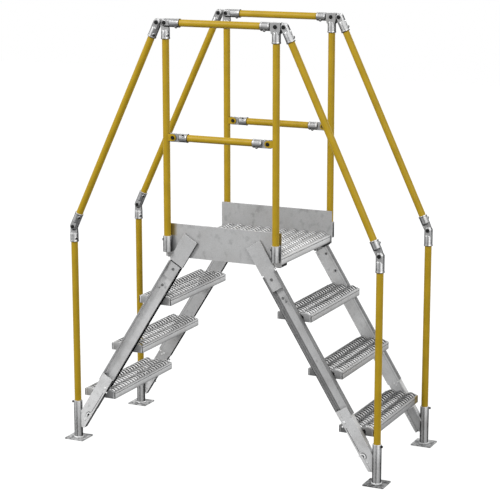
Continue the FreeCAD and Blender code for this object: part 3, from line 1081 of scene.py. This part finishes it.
def bracket_slot(marks, bright, end, side):
    """Slot of a foot bracket as a dark disc of painted shade with a pin in it, and its lip as an
    arc of painted highlight over an arc of painted shade.
    """
    x, z = on_foot(*BRACKET_SLOT)
    at = mirrored((x, -BRACKET_FACE, z), end, side)
    out = (0, SIDES[side], 0)
    pin = at - Vector((0, 0, SLOT_PIN_DOWN))
    marks.turned(
        [(-0.0005, SLOT_R), (0.0006, SLOT_R), (0.0006, 0)], facing(out, at), SMALL_ROUND,
        smooth=False)
    bright.turned(
        [(0, SLOT_PIN_R), (0.0010, SLOT_PIN_R), (0.0010, 0)], facing(out, pin), SMALL_ROUND,
        smooth=False)
    low, high, steps = LIP_SPAN
    for shape, outer, inner, rise in (
            (marks, SLOT_R + 0.0088, SLOT_R + 0.0060, 0.0016),
            (bright, SLOT_R + 0.0062, SLOT_R - 0.0002, 0.004)):
        outline = arc(0, 0, outer, low, high, steps) + arc(0, 0, inner, high, low, steps)
        add_outline(shape, about(at, ENDS[end], outline), BRACKET_FACE, rise, side)


def bracket_groove_shadow(marks, end, side):
    """Thin dark strip of painted shadow along the groove on the face of a foot bracket."""
    shadow_strip = slope_strip(on_foot(*BRACKET_SHADOW_START), on_foot(*BRACKET_SHADOW_END), BRACKET_SHADOW_WIDTH)
    placed = [(ENDS[end] * u, v) for u, v in shadow_strip]
    add_outline(marks, placed, BRACKET_FACE, 0.0022, side)


def build_frame_fasteners(dull, bright, black):
    for side in SIDES:
        dull_bolts = Shape("frame_bolts_" + side)
        bright_bolts = Shape("bracket_bolts_" + side)
        # Marks of painted shade and shadow: slots, arcs under the lips, grooves and hanger ends
        marks = Shape("bracket_shade_marks_" + side)
        for end, x_way in ENDS.items():
            hanger = "hanger_" + side + "_" + end
            hanger_face = max(abs(corner.y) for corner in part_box(hanger))
            for shape, bolts, placed_on, face, rise, outward in (
                    (dull_bolts, HANGER_BOLTS, on_hanger, hanger_face, FLAT_BOLT_RISE, 1),
                    (bright_bolts, BRACKET_BOLTS, on_foot, BRACKET_FACE, BRACKET_BOLT_RISE, 1),
                    (dull_bolts, INNER_BOLTS, on_hanger, WEB_BACK, FLAT_BOLT_RISE, -1),
                    (bright_bolts, INNER_WELDS, on_foot, WEB_BACK, FLAT_BOLT_RISE, -1)):
                add_bolts(shape, bolts, placed_on, face, rise, end, side, outward)
            bracket_slot(marks, bright_bolts, end, side)
            bracket_groove_shadow(marks, end, side)
            if end == "left":
                add_outline(
                    marks, hanger_shadow_line(hanger, x_way), hanger_face - 0.0010, 0.0014, side)
        for shape, finish in ((dull_bolts, dull), (bright_bolts, bright), (marks, black)):
            shape.finish(finish)


def build_sockets(metal, bead_metal, screws_metal):
    """Zinc tube over each socket, with painted reflections along it, a weld bead at its foot and
    a set screw.
    """
    for side, way in SIDES.items():
        tubes = Shape("post_socket_tubes_" + side)
        screws = Shape("post_socket_screws_" + side)
        beads = Shape("post_socket_welds_" + side)
        post_low, post_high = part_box("base_posts_" + side)
        line = (post_low.y + post_high.y) / 2
        for x_way in ENDS.values():
            for x, z0, z1 in (
                    (FOOT_X, BASE_PLATE, SOCKET_TOP),
                    (DECK_POST_X, DECK_SOCKET_LOW, DECK_SOCKET_HIGH)):
                up = facing((0, 0, 1), (x_way * x, line, 0))
                outer = SOCKET_R + SOCKET_SKIN
                tubes.turned([
                    (z0, outer), (z1 - 0.001, outer), (z1 + SOCKET_SKIN, outer - 0.001),
                    (z1 + SOCKET_SKIN, PIPE_R + 0.0002)], up)
            foot = facing((0, 0, 1), (x_way * FOOT_X, line, 0))
            beads.turned([
                (BASE_PLATE, SOCKET_R + WELD), (BASE_PLATE + WELD * 0.6, SOCKET_R + WELD * 0.8),
                (BASE_PLATE + WELD, SOCKET_R)], foot)
            base = Vector((x_way * FOOT_X, line, SOCKET_TOP - BASE_SCREW_DOWN))
            out = facing((x_way, way * 0.25, 0.15), base)
            screws.turned([
                (SOCKET_R - 0.001, BASE_SCREW_R), (SOCKET_R + 0.0045, BASE_SCREW_R),
                (SOCKET_R + 0.0045, BASE_SCREW_HEAD_R), (SOCKET_R + 0.0085, 0.0055),
                (SOCKET_R + 0.0085, 0)], out, SMALL_ROUND)
            deck = Vector((x_way * DECK_POST_X, line, DECK_SOCKET_HIGH - DECK_SCREW_DOWN))
            out = facing((-0.85, way * 0.5, 0), deck)
            screws.turned([
                (SOCKET_R - 0.001, BASE_SCREW_HEAD_R), (SOCKET_R + 0.0035, 0.0055),
                (SOCKET_R + 0.0035, 0)], out, SMALL_ROUND)
        tubes.finish(metal)
        beads.finish(bead_metal)
        screws.finish(screws_metal)


def build_clips(black):
    """Small clips under the end faces of the deck, beside the stringers, black with painted
    shadow.
    """
    shape = Shape("deck_clips_painted_shadow")
    low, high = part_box("deck_plank_right")
    for x_way in ENDS.values():
        x0, x1 = sorted((x_way * (high.x - CLIP_LENGTH), x_way * high.x))
        for y0, y1 in ((low.y, low.y + CLIP_REACH), (high.y - CLIP_REACH, high.y)):
            shape.box((x0, y0, low.z - CLIP_HEIGHT), (x1, y1, low.z + 0.0005))
    shape.finish(black)


# Stage and camera
def background_rays(tree):
    """One for rays that show the background: camera, glossy and transmission rays."""
    path = new_node(tree, "LightPath")
    total = path.outputs["Is Camera Ray"]
    for kind in ("Is Glossy Ray", "Is Transmission Ray"):
        total = maths(tree, "MAXIMUM", total, path.outputs[kind])
    return total


def white_floor():
    """A floor that shows as white and keeps a faint shadow of the object."""
    material, tree, shader = new_material("floor_white")
    feed(tree, shader, {"Base Color": (*grey(FLOOR_GREY), 1), "Roughness": 1.0})
    plain = shader.outputs["BSDF"]
    light = new_node(tree, "Emission", {"Strength": FLOOR_WHITE}).outputs["Emission"]
    shown = new_node(tree, "AddShader", {0: plain, 1: light}).outputs["Shader"]
    mix = new_node(tree, "MixShader", {"Fac": background_rays(tree), 1: plain, 2: shown})
    feed(tree, tree.nodes["Material Output"], {"Surface": mix.outputs["Shader"]})
    bpy.ops.mesh.primitive_plane_add(size=FLOOR_SIZE, location=(0, 0, -FLOOR_DROP))
    floor = bpy.context.object
    floor.name = "floor"
    floor.data.materials.append(material)


def white_world():
    """Soft light of a room, shown as plain white to the camera."""
    world = bpy.data.worlds.new("white_room")
    bpy.context.scene.world = world
    world.use_nodes = True
    tree = world.node_tree
    soft = tree.nodes["Background"]
    feed(tree, soft, {"Color": (*SKY_COLOUR, 1), "Strength": SKY_LIGHT})
    white = new_node(tree, "Background", {"Color": (1, 1, 1, 1), "Strength": 1.0})
    mix = new_node(tree, "MixShader", {
        "Fac": background_rays(tree), 1: soft.outputs["Background"],
        2: white.outputs["Background"]})
    feed(tree, tree.nodes["World Output"], {"Surface": mix.outputs["Shader"]})


def lamp(name, place, size, watts):
    data = bpy.data.lights.new(name, "AREA")
    data.energy = watts
    data.size = size
    made = bpy.data.objects.new(name, data)
    made.location = place
    way = Vector(LAMP_TARGET) - Vector(place)
    made.rotation_euler = way.to_track_quat("-Z", "Y").to_euler()
    bpy.context.scene.collection.objects.link(made)


def camera():
    data = bpy.data.cameras.new("view")
    data.sensor_width = SENSOR
    data.lens = CAMERA_LENS
    made = bpy.data.objects.new("view", data)
    made.location = CAMERA_PLACE
    made.rotation_euler = (math.radians(CAMERA_TILT), 0, math.radians(CAMERA_TURN))
    bpy.context.scene.collection.objects.link(made)
    bpy.context.scene.camera = made


# Metals and paint of the pieces
plate_metal = galvanised(
    "galvanised_plate", 0.465, cloud=0.06, smudge=0.86, spots_from=0.56, painted_light=post_reflection)
hanger_metal = galvanised(
    "galvanised_hanger", 0.49, cloud=0.08, smudge=0.85, edge=0.0022, edge_highlight=1.75)
foot_metal = galvanised("galvanised_foot", 0.60, smudge=0.8, extra=base_plate_patches_and_light)
# Stringers: painted shade in bands across them, and painted light near the upper edge of the left
# ones
right_stringer = galvanised(
    "galvanised_right_stringer", 0.53, under=0.5, smudge=0.8,
    extra=lambda tree: stringer_painted_shade(tree, RIGHT_BANDS, 0.42, 0.3, 1.35, 1.0))
left_stringer = galvanised(
    "galvanised_left_stringer", 0.63, under=0.62, dark=0.75, smudge=0.82,
    extra=lambda tree: stringer_painted_shade(tree, LEFT_BANDS, 0.75, 0.02, 0.85, 1.35))
tread_metal = galvanised(
    "galvanised_tread", 0.64, roughness=0.38, cloud=0.06, smudge=0.85, edge=0.0005, dark=0.6,
    under=0.3, extra=point_shade, painted_light=tread_light_and_shade)
deck_metal = galvanised(
    "galvanised_deck", 0.88, roughness=0.38, cloud=0.06, smudge=0.85, edge=0.0005, dark=0.7,
    under=0.3, extra=point_shade)
fitting_metal = galvanised(
    "zinc_fitting", 0.56, 0.34, 0.35, smudge=0.8, edge=0.0007, crevice_reach=0.006, dark=0.10,
    under=0.4, edge_highlight=1.3, tube=0.70)
socket_metal = galvanised(
    "socket_tube", 0.54, 0.40, 0.25, smudge=0.8, edge=0.0005, crevice_reach=0.004, dark=0.3,
    tube=0.80)
# Bright zinc, lifted near white as painted highlight, for the bracket bolts, the bumps inside the
# feet, the pins in the slots and the lips over them
bright_zinc_and_highlight = galvanised("bright_zinc_and_highlight", 0.90, smudge=0.9, cloud=0.05, dark=0.7, under=0.8)
dull_bolt = dark_steel("dull_bolts", 0.11)
paint = yellow_paint("yellow_pipe")
# Black of the screws, also used for the marks and clips of painted shadow
dark = dark_steel("black_screws_and_shadow")

NODE_FINISH = {
    "stringer_near_right": right_stringer,
    "stringer_far_right": right_stringer,
    "stringer_near_left": left_stringer,
    "stringer_far_left": left_stringer,
    "hanger": hanger_metal,
    "feet": foot_metal,
    "side_plate": plate_metal,
    "base_posts": paint,
    "deck_posts": paint,
    "sloped_rails": paint,
    "top_rail": paint,
    "mid_rail": paint,
}

for name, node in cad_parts.items():
    for start, finish in NODE_FINISH.items():
        if name.startswith(start):
            node.data.materials.clear()
            node.data.materials.append(finish)

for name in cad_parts:
    if name.startswith("tread"):
        grating(name, tread_metal, TREAD_GAP)
    elif name.startswith("deck_plank"):
        grating(name, deck_metal, DECK_GAP)

build_swivels(fitting_metal, dark, paint)
build_frame_fasteners(dull_bolt, bright_zinc_and_highlight, dark)
build_sockets(socket_metal, foot_metal, dark)
build_clips(dark)

white_world()
white_floor()
for name, (place, size, watts) in LAMPS.items():
    lamp(name, place, size, watts)
camera()

bpy.context.scene.view_settings.view_transform = "Standard"
